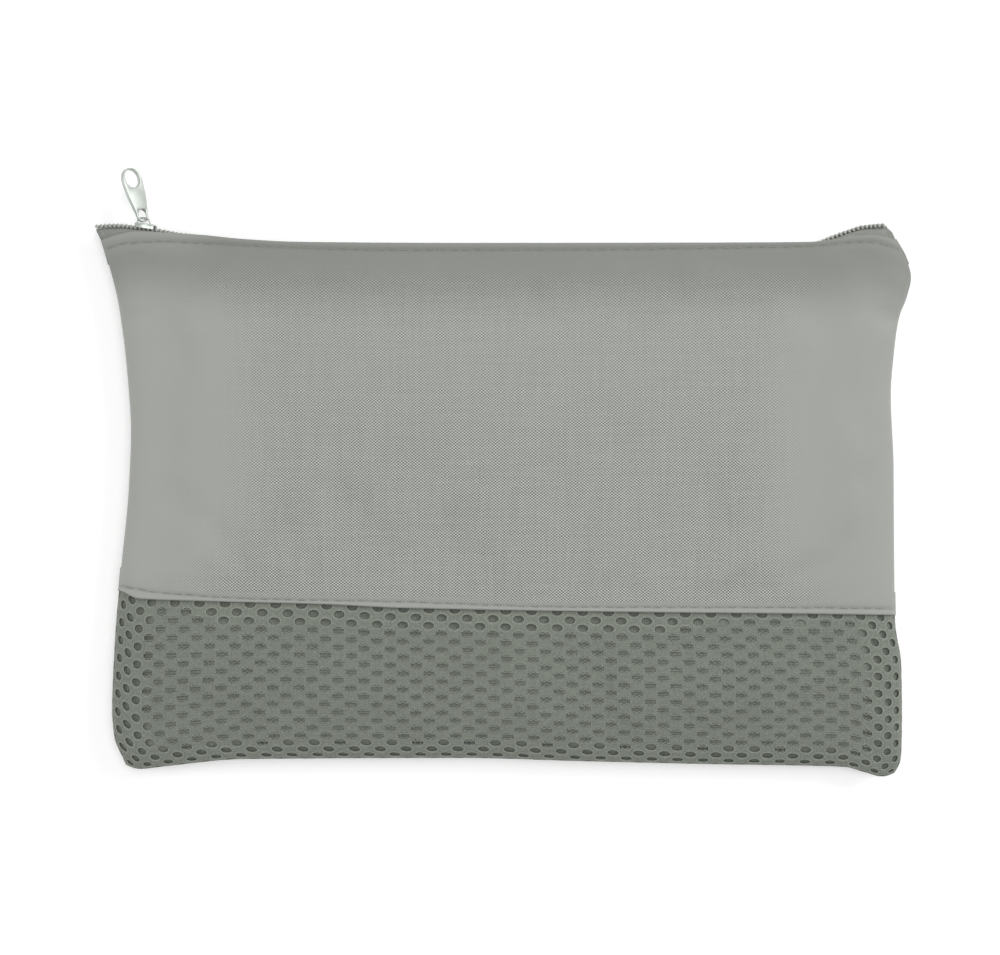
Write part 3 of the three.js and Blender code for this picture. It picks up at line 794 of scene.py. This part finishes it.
def build_mesh_panel():
    edge, hole = hexagon()
    count = len(edge)
    total_s = BODY_WIDTH + 2 * EXTRA
    high = float(hem_y(0.0) + UNDER_HEM - bottom_y(0.0))
    high = float(np.interp(high, ACROSS_FLAT, UNROLLED))
    rings = np.stack([hole, hole * 1.09, hole * 0.675 + edge * 0.45, edge]).reshape(-1, 2)
    flat, faces = [], []
    for centre in cell_centres(total_s, high):
        start = len(flat) * len(rings)
        flat.append(rings + centre)
        for r in range(3):
            for k in range(count):
                a, b = start + r * count + k, start + r * count + (k + 1) % count
                faces.append((a, a + count, b + count, b))
    flat = np.concatenate(flat)
    data = bpy.data.meshes.new("flat")
    data.from_pydata([(a, b, 0) for a, b in flat], [], faces)
    work = bmesh.new()
    work.from_mesh(data)
    bpy.data.meshes.remove(data)
    bmesh.ops.remove_doubles(work, verts=work.verts, dist=0.02)
    trims = [((0, 0, 0), (-1, 0, 0)), ((0, 0, 0), (0, -1, 0))]
    trims += [((total_s, 0, 0), (1, 0, 0)), ((0, high, 0), (0, 1, 0))]
    for point, normal in trims:
        everything = work.verts[:] + work.edges[:] + work.faces[:]
        bmesh.ops.bisect_plane(
            work, geom=everything, dist=0.01, plane_co=point, plane_no=normal, clear_outer=True
        )
    bmesh.ops.recalc_face_normals(work, faces=work.faces)
    if sum(f.normal.z * f.calc_area() for f in work.faces) < 0:
        bmesh.ops.reverse_faces(work, faces=work.faces)
    work.verts.index_update()
    flat = np.array([v.co[:2] for v in work.verts])
    faces = [[v.index for v in f.verts] for f in work.faces]
    work.free()
    s, t = flat[:, 0], flat[:, 1]
    row = np.round((t - FIRST_HOLE[1]) / CELL_Y)
    nearest = np.full(len(s), 9.0)
    for step in (-1, 0, 1):
        offset = FIRST_HOLE[0] + 0.5 * CELL_X * ((row + step) % 2)
        column = np.round((s - offset) / CELL_X)
        ds = s - offset - column * CELL_X
        dt = t - FIRST_HOLE[1] - (row + step) * CELL_Y
        nearest = np.minimum(nearest, np.hypot(ds / HOLE[0], dt / HOLE[1]))
    rim = np.clip(1 - (nearest - 1) / 0.3, 0, 1)
    x, y = on_mesh(s, t)
    points = metres(x, y, mesh_z(x, y) + 0.03 * rim)
    piece = make_object("mesh_panel_cloth", points, faces, mesh_cloth)
    # painted highlight on the hole rims, strongest where the net stands off its lining
    parted = 1 - smooth((from_seams(x, y) - 4.4) / 1.8)
    add_values(piece, rim=rim * (0.5 + 4.0 * parted))
    thicken(piece, NET_THICK)
    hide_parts("mesh_panel")
    build_pinched_loops(total_s, high)


def build_pinched_loops(total_s, high):
    """Two slack loops of yarn across each hole, where the net lies flat on its lining; each is a
    dark strand, painted shadow, with a paler strand just outside it, painted highlight.
    """
    parts, painted_shadow_and_highlight, k = [], [], 0
    for s, t in cell_centres(total_s, high):
        if not (2 < s < total_s - 2 and 2 < t < high - 2):
            continue
        k += 1
        x, y = on_mesh(np.array([s]), np.array([t]))
        if from_seams(x, y)[0] < 5.2 + 0.9 * math.sin(k * 4.1):
            continue
        for side in (1, -1):
            reach = 1.5 + 0.15 * math.sin(k * 2.7 + side)
            p = np.linspace(-1, 1, 11)
            bow = 0.41 + 0.2 * np.cos(p * 6.0 + 0.5 * math.sin(k * 1.9)) + 0.07 * np.sin(p * 5 + k)
            # a dark copy as painted shadow, and a paler copy just outside it as painted highlight
            for shade, out, lift, radius in ((-4.0, 0.0, 0.14, 0.13), (6.0, 0.28, 0.1, 0.11)):
                px, py = on_mesh(s + reach * p, t + side * (bow + out))
                arch = mesh_z(px, py) + lift - 0.16 * p**4
                thick = radius + 0.02 * math.sin(k + side)
                part = tube(np.stack([px, py, arch], -1), thick, sides=5)
                parts.append(part)
                painted_shadow_and_highlight.append(np.full(len(part[0]), shade))
    points, faces = gather(parts)
    piece = make_object("mesh_pinched_loops", to_metres(points), faces, mesh_cloth)
    add_values(piece, rim=np.concatenate(painted_shadow_and_highlight))
    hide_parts("mesh_panel")


build_mesh_panel()


def lower_rows():
    return np.concatenate([border_steps(12), np.arange(25.5, 54, 1.5)])


def build_lining():
    rows = lower_rows()
    w = rows / rows[-1]
    u = ACROSS[None, :]
    x, y = settle(u, w[:, None], bottom_y, lambda at: hem_y(at) + 8)
    apart = held_off(x, y)
    z = mesh_z(x, y) - NET_THICK - (apart - PRESSED)
    points = metres(x, y, np.maximum(z, SEAM_Z + 0.1)).reshape(-1, 3)
    piece = make_object("lining_sheet", points, grid_faces(*x.shape), lining_cloth)
    # tone: painted shade, darker where the net stands off the lining
    add_values(piece, rim=np.zeros(x.size), tone=1.02 - 0.07 * apart)
    thicken(piece, LINING_THICK)
    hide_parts("mesh_backing")


build_lining()


# -------- back panel
def build_back():
    up = np.concatenate([border_steps(14), np.arange(26, 120, 3.0)])
    low_rows = list(up / 149)
    top_rows = list(1 - spread(0.6, 28, 0.5, 1.12, 2.6)[::-1] / 149)
    shares = np.array([w for w in low_rows if w < top_rows[0] - 0.01] + top_rows)
    u = ACROSS[None, :]
    x, y = settle(u, shares[:, None], bottom_y, fold_y)
    groove_up = BACK_GROOVE * np.exp(-(((y - mouth_stitch_y(x)) / 0.75) ** 2))
    z = back_z(x, y) + groove_up
    rows_x, rows_y, rows_z = [x], [y], [z]
    xt, yt = settle(ACROSS, np.ones_like(ACROSS), fold_y, fold_y)
    zt = back_z(xt, yt)
    thin = np.clip((SEAM_Z - zt) / FULL_AT, LEAST_THICK, 1)
    turned_in = [(offset, -2 * BACK_LIP_RADIUS) for offset in (-1.4, -4, -7)]
    for offset, drop in fold_rows(BACK_LIP_RADIUS, 1)[1:] + turned_in:
        xi = left_x(yt + offset) + (right_x(yt + offset) - left_x(yt + offset)) * ACROSS
        rows_x.append(xi[None])
        rows_y.append(yt[None] + offset)
        base = back_z(xi, yt + offset)
        rows_z.append((base - drop * thin)[None])
    x, y, z = np.concatenate(rows_x), np.concatenate(rows_y), np.concatenate(rows_z)
    wide_x, wide_z = seam_columns(x, z, SEAM_Z - SEAM_STEP)
    points = metres(wide_x, repeat_ends(y), wide_z).reshape(-1, 3)
    faces = grid_faces(*wide_x.shape)[:, ::-1]
    piece = make_object("back_panel_cloth", points, faces, back_cloth)
    add_values(piece, weave=np.ones(wide_x.size), tone=np.ones(wide_x.size))
    thicken(piece, CLOTH)
    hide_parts("back_panel")


build_back()


# -------- zip
def chain_y(x):
    return ZIP_CENTRE[1] - np.sqrt(ZIP_RADIUS**2 - (x - ZIP_CENTRE[0]) ** 2) + chain_lift(x)


def chain_point(x, n, z):
    """Out of the mouth by n and up by z from the chain, as an array of points in millimetres."""
    x = np.asarray(x, float)
    slope = chain_y(x + 0.5) - chain_y(x - 0.5)
    length = np.hypot(slope, 1)
    px, py = x - slope / length * n, chain_y(x) + n / length
    return np.stack(np.broadcast_arrays(px, py, SEAM_Z + z), -1)


def build_tape(side):
    first, last = ZIP_ENDS
    stations = np.concatenate([np.linspace(first, last, 150), np.linspace(84, last, 60)])
    stations = np.unique(stations)
    share = (stations - first) / (last - first)
    upright = np.minimum(ramp(stations - first), ramp(last - stations))
    back = -3.2 * (1 - upright)
    rows = []

    def at(n):
        inset = -np.minimum(n, 0)
        length = last - first - 0.35 * inset + np.minimum(0.5 * inset, 1.0)
        x = first + 0.35 * inset + length * share
        p = chain_point(x, n, 0 * x)
        if side > 0:
            under = upper_z(p[:, 0], p[:, 1]) - 1.45 - SEAM_Z
        else:
            under = SEAM_Z - back_z(p[:, 0], p[:, 1]) - 1.45
        return x, np.maximum(under, 0.35)

    knee_x, knee_h = at(back)
    start = np.minimum(0.95, 0.35 + 0.6 * upright)
    for k in np.linspace(0, 1, 6):
        n = back * k
        x, _ = at(n)
        height = start + (np.maximum(knee_h, start) - start) * k
        rows.append(chain_point(x, n, side * height))
    for out in (0.5, 1.5, 3.5, 6.5):
        n = back - out
        x, h = at(n)
        rows.append(chain_point(x, n, side * np.maximum(h, 0.3)))
    points = to_metres(np.array(rows))
    shape = points.shape[:2]
    faces = grid_faces(*shape)
    if side < 0:
        faces = faces[:, ::-1]
    name = "zip_tape_" + ("front" if side > 0 else "back")
    piece = make_object(name + "_cloth", points.reshape(-1, 3), faces, tape_cloth)
    thicken(piece, TAPE_THICK, 0.0)
    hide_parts(name)


def build_coil(side):
    """One row of the coil: a flattened spiral that stands on the tape."""
    loops = int((COIL_END - ZIP_ENDS[0]) / COIL_PITCH)
    steps = 14
    turn = np.arange(loops * steps + 1) / steps
    phase = 0.0 if side > 0 else 0.5
    angle = 2 * math.pi * turn
    x = ZIP_ENDS[0] + COIL_PITCH * (turn + phase + 0.10 * np.sin(angle))
    x = np.clip(x, ZIP_ENDS[0], COIL_END)
    head, root = 0.54, 1.95
    z = (head + root) / 2 - (root - head) / 2 * np.cos(angle)
    n = 0.62 + 0.36 * np.sin(angle)
    path = chain_point(x, n, side * z)
    points, faces = tube(path, 0.35, sides=6, up=(0.13, 0.99, 0.05))
    name = "zip_coil_" + ("front" if side > 0 else "back")
    piece = make_object(name + "_spiral", to_metres(points), faces, coil_nylon)
    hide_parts(name)


for side in (1, -1):
    build_tape(side)
    build_coil(side)


# -------- stitches and bindings
def build_stitches(name, node, line, face, side, x_from, x_to):
    parts = []
    for i in range(int((x_to - x_from) / STITCH)):
        start = x_from + i * STITCH + 0.25 * math.sin(i * 2.3)
        t = np.linspace(0, 1, 9)
        x = start + (STITCH - 0.55) * t
        y = line(x) + 0.1 * math.sin(i * 1.7)
        lift = np.sin(math.pi * t) ** 0.5 * 0.24 - 0.16
        z = face(x, line(x)) + side * lift
        radius = 0.17 * (0.75 + 0.25 * np.sin(math.pi * t))
        parts.append(tube(np.stack([x, y, z], -1), radius, sides=7))
    points, faces = gather(parts)
    piece = make_object(name, to_metres(points), faces, sewing_thread)
    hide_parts(node)


build_stitches(
    "mouth_stitches_front", "zip_topstitch_front", mouth_stitch_y, upper_z, 1, -113.5, 113
)
build_stitches("hem_stitches", "hem_topstitch", hem_stitch_y, upper_z, 1, -108, 111)
build_stitches(
    "mouth_stitches_back", "zip_topstitch_back", mouth_stitch_y,
    lambda x, y: back_z(x, y) + BACK_GROOVE, -1, -113, 112.5,
)


def build_binding(name, path, inward):
    """Tape folded over the raw edges of the seam: a U in section, open towards the seam."""
    section = [(0.9, 0.75), (3.0, 0.85), (5.4, 0.8), (6.1, 0.45), (6.3, 0)]
    section += [(d, -h) for d, h in section[-2::-1]]
    rows = []
    for d, h in section:
        p = path.copy()
        p[:, :2] += inward * d
        p[:, 2] += h * 0.55
        rows.append(p)
    points = to_metres(np.array(rows))
    faces = grid_faces(len(section), len(path))
    piece = make_object(name + "_tape", points.reshape(-1, 3), faces, binding_cloth)
    thicken(piece, BINDING_THICK, 0.0)
    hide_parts(name)


ys = np.linspace(-78, 55, 90)
for name, line, way in (("side_binding_left", left_x, 1), ("side_binding_right", right_x, -1)):
    seam = np.stack([line(ys), ys, np.full_like(ys, SEAM_Z)], -1)
    build_binding(name, seam, np.array([way, 0.0]))
xs = np.linspace(-101, 103, 120)
seam = np.stack([xs, bottom_y(xs), np.full_like(xs, SEAM_Z)], -1)
build_binding("bottom_binding", seam, np.array([0.0, 1.0]))


# -------- slider and pull tab
slope = float(chain_y(SLIDER_X + 0.5) - chain_y(SLIDER_X - 0.5))
slider_turn = math.atan(slope)
slider_spot = (SLIDER_X - MIDDLE[0], float(chain_y(SLIDER_X)) - MIDDLE[1], SEAM_Z)
slider_frame = (
    Matrix.Translation(Vector(slider_spot) / 1000)
    @ Matrix.Rotation(slider_turn, 4, "Z")
    @ Matrix.Scale(0.001, 4)
)


def outline_solid(loops, thick, bevel, resolution=3):
    """A flat plate with rounded edges, from one outline and its holes."""
    data = bpy.data.curves.new("outline", "CURVE")
    data.dimensions = "2D"
    data.fill_mode = "BOTH"
    data.extrude = thick / 2 - bevel
    data.bevel_depth = bevel
    data.bevel_resolution = resolution
    data.offset = -bevel
    for loop in loops:
        spline = data.splines.new("POLY")
        spline.points.add(len(loop) - 1)
        for point, (a, b) in zip(spline.points, loop):
            point.co = (a, b, 0, 1)
        spline.use_cyclic_u = True
    holder = bpy.data.objects.new("outline", data)
    bpy.context.scene.collection.objects.link(holder)
    bpy.context.view_layer.update()
    graph = bpy.context.evaluated_depsgraph_get()
    mesh = bpy.data.meshes.new_from_object(holder.evaluated_get(graph))
    made = bmesh.new()
    made.from_mesh(mesh)
    bmesh.ops.remove_doubles(made, verts=made.verts, dist=0.001)
    bpy.data.objects.remove(holder)
    bpy.data.curves.remove(data)
    bpy.data.meshes.remove(mesh)
    return made


def rounded(corners, radius, steps=5):
    """A closed outline with each corner rounded."""
    out = []
    n = len(corners)
    for i in range(n):
        p = np.array(corners[i], float)
        a = np.array(corners[i - 1], float) - p
        b = np.array(corners[(i + 1) % n], float) - p
        r = min(radius, 0.45 * np.linalg.norm(a), 0.45 * np.linalg.norm(b))
        start, end = p + a / np.linalg.norm(a) * r, p + b / np.linalg.norm(b) * r
        for t in np.linspace(0, 1, steps):
            out.append(tuple((1 - t) ** 2 * start + 2 * t * (1 - t) * p + t * t * end))
    return out


def bezier(points, steps=10):
    p = [np.array(v, float) for v in points]
    t = np.linspace(0, 1, steps, endpoint=False)[:, None]
    start = (1 - t) ** 3 * p[0] + 3 * t * (1 - t) ** 2 * p[1]
    return [tuple(v) for v in start + 3 * t * t * (1 - t) * p[2] + t**3 * p[3]]


def add_to(target, source, matrix):
    source.transform(matrix)
    mesh = bpy.data.meshes.new("part")
    source.to_mesh(mesh)
    source.free()
    target.from_mesh(mesh)
    bpy.data.meshes.remove(mesh)


def as_piece(name, work, material, matrix, body, node):
    bmesh.ops.recalc_face_normals(work, faces=work.faces)
    work.transform(matrix)
    mesh = bpy.data.meshes.new(name)
    work.to_mesh(mesh)
    work.free()
    mesh.materials.append(material)
    made = bpy.data.objects.new(name, mesh)
    bpy.context.scene.collection.objects.link(made)
    for face in mesh.polygons:
        face.use_smooth = True
    mesh.set_sharp_from_angle(angle=math.radians(38))
    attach(made, body)
    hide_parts(node)


# In the slider's own frame: X along the chain, Y out of the mouth, Z across the chain.
# A plate is drawn in X and Z, and stands in Y.
FLAT_TO_PLATE = Matrix(((1, 0, 0, 0), (0, 0, 1, 0), (0, 1, 0, 0), (0, 0, 0, 1)))
BRIDGE_X = -0.8


def plate_outline(wide, tail):
    top = [(-3.1, wide - 0.9), (-2.4, wide), (-0.4, wide)]
    top += [(1.2, tail), (2.4, tail), (3.0, tail - 0.7)]
    return top + [(x, -z) for x, z in reversed(top)]


def build_slider():
    work = bmesh.new()
    for wide, tail, low, high in ((3.0, 2.7, 1.5, 2.05), (2.3, 2.1, -1.75, -0.95)):
        plate = outline_solid([rounded(plate_outline(wide, tail), 0.7)], high - low, 0.22)
        add_to(work, plate, Matrix.Translation((0, (low + high) / 2, 0)) @ FLAT_TO_PLATE)
    for side in (1, -1):
        rim = [(-2.5, 2.95), (-0.4, 2.95), (1.2, 2.6), (2.5, 2.6)]
        rim += [(2.5, 2.15), (1.0, 2.15), (-0.6, 2.4), (-2.5, 2.4)]
        rim = outline_solid([rounded([(x, side * z) for x, z in rim], 0.3, 3)], 1.3, 0.12)
        add_to(work, rim, Matrix.Translation((0, 1.25, 0)) @ FLAT_TO_PLATE)
    post = [(-2.7, 0), (-2.1, 0.26), (-1.2, 0.26), (-0.6, 0), (-1.2, -0.26), (-2.1, -0.26)]
    post = rounded(post, 0.1, 2)
    add_to(work, outline_solid([post], 3.3, 0.05), Matrix.Translation((0, 0.2, 0)) @ FLAT_TO_PLATE)
    t = np.linspace(0, math.pi, 25)
    along = BRIDGE_X - 1.85 * np.sign(np.cos(t)) * np.abs(np.cos(t)) ** 0.75
    arch = np.stack([along, 1.9 + 1.85 * np.sin(t) ** 0.8, 0 * t], -1)
    points, faces = tube(arch, 0.25, sides=12, up=(0, 0, 1))
    bridge = bmesh.new()
    verts = [bridge.verts.new(p) for p in points]
    for f in faces:
        bridge.faces.new([verts[i] for i in f])
    add_to(work, bridge, Matrix.Identity(4))
    as_piece("slider_casting", work, nickel, slider_frame, "slider", "slider_body")


def build_pull():
    length = 15.75
    outline = [(-0.6, -0.33), (0.0, -0.35)]
    outline += bezier([(0.6, -0.33), (1.2, -0.15), (1.95, 0.6), (1.95, 1.5)])
    outline += [(1.95, 1.5), (2.12, 4), (2.36, 7.5)]
    outline += bezier([(2.6, 11.2), (2.75, 14.4), (1.5, length), (0, length)])
    outline += bezier([(0, length), (-1.5, length), (-2.75, 14.4), (-2.6, 11.2)])
    outline += [(-2.6, 11.2), (-2.36, 7.5), (-2.12, 4)]
    outline += bezier([(-1.95, 1.5), (-1.95, 0.6), (-1.2, -0.15), (-0.6, -0.33)])
    eye = bezier([(-0.8, 0.35), (-1.25, 0.6), (-1.42, 1.1), (-1.42, 1.7)], 5)
    eye += bezier([(-1.42, 1.7), (-1.42, 3.9), (1.42, 3.9), (1.42, 1.7)], 12)
    eye += bezier([(1.42, 1.7), (1.42, 1.1), (1.25, 0.6), (0.8, 0.35)], 5)
    angle = np.linspace(0, 2 * math.pi, 40, endpoint=False)
    window = [(1.95 * math.cos(a), 12.55 + 2.65 * math.sin(a)) for a in angle]
    work = bmesh.new()
    plate = outline_solid([outline, eye, window], 1.3, 0.2)
    for v in plate.verts:
        y = v.co.y
        v.co.x *= 1 + 0.28 * float(smooth((y - 2.5) / 4))
        share = min(1, max(0, (y - 2.2) / 1.6))
        v.co.z *= 0.54 + 0.46 * share * share * (3 - 2 * share)
    add_to(work, plate, Matrix.Identity(4))
    lean = math.radians(16.7) - slider_turn
    turn = Matrix.Rotation(lean, 4, "Z") @ Matrix.Rotation(math.radians(44), 4, "Y")
    place = slider_frame @ Matrix.Translation((BRIDGE_X, 2.92, 0)) @ turn
    as_piece("pull_tab_casting", work, nickel, place, "pull", "pull_tab")


build_slider()
build_pull()

# -------- table, light and camera
floor_mesh = bpy.data.meshes.new("floor")
floor_mesh.from_pydata([(-6, -6, 0), (6, -6, 0), (6, 6, 0), (-6, 6, 0)], [], [(0, 1, 2, 3)])
floor = bpy.data.objects.new("floor", floor_mesh)
bpy.context.scene.collection.objects.link(floor)
paper = Nodes("paper")
where = paper.place()[0]
grain = paper.math("MULTIPLY_ADD", paper.noise(where, 30), 0.01, 0.995)
sheet = paper.shade((0.93, 0.93, 0.93), grain)
floor_mesh.materials.append(
    paper.finish(sheet, 0.9, Emission_Color=(1, 1, 1, 1), Emission_Strength=0.2)
)

world = bpy.data.worlds.new("studio")
bpy.context.scene.world = world
world.use_nodes = True
world.node_tree.nodes["Background"].inputs[0].default_value = (1, 1, 1, 1)
world.node_tree.nodes["Background"].inputs[1].default_value = 0.4


def area_light(name, place, aim, size, watts):
    data = bpy.data.lights.new(name, "AREA")
    data.shape = "RECTANGLE"
    data.size, data.size_y = size
    data.energy = watts
    lamp = bpy.data.objects.new(name, data)
    lamp.location = place
    lamp.rotation_mode = "QUATERNION"
    lamp.rotation_quaternion = (Vector(aim) - Vector(place)).to_track_quat("-Z", "Y")
    bpy.context.scene.collection.objects.link(lamp)


area_light("overhead", (0.15, 0.1, 1.5), (0, 0, 0), (0.9, 0.7), 8)
area_light("left_panel", (-1.3, 0, 0.75), (0, 0, 0), (0.8, 1.2), 6)
area_light("right_panel", (1.1, 0.6, 0.8), (0, 0, 0), (0.6, 0.7), 9.5)

camera_data = bpy.data.cameras.new("camera")
camera_data.lens = 100
camera_data.sensor_width = 36
camera_data.clip_start = 0.01
camera_data.clip_end = 50
camera = bpy.data.objects.new("camera", camera_data)
camera.location = ((-1.07 - MIDDLE[0]) / 1000, (-1.29 - MIDDLE[1]) / 1000, 0.7944 + 0.007)
bpy.context.scene.collection.objects.link(camera)
bpy.context.scene.camera = camera
bpy.context.scene.view_settings.view_transform = "Standard"
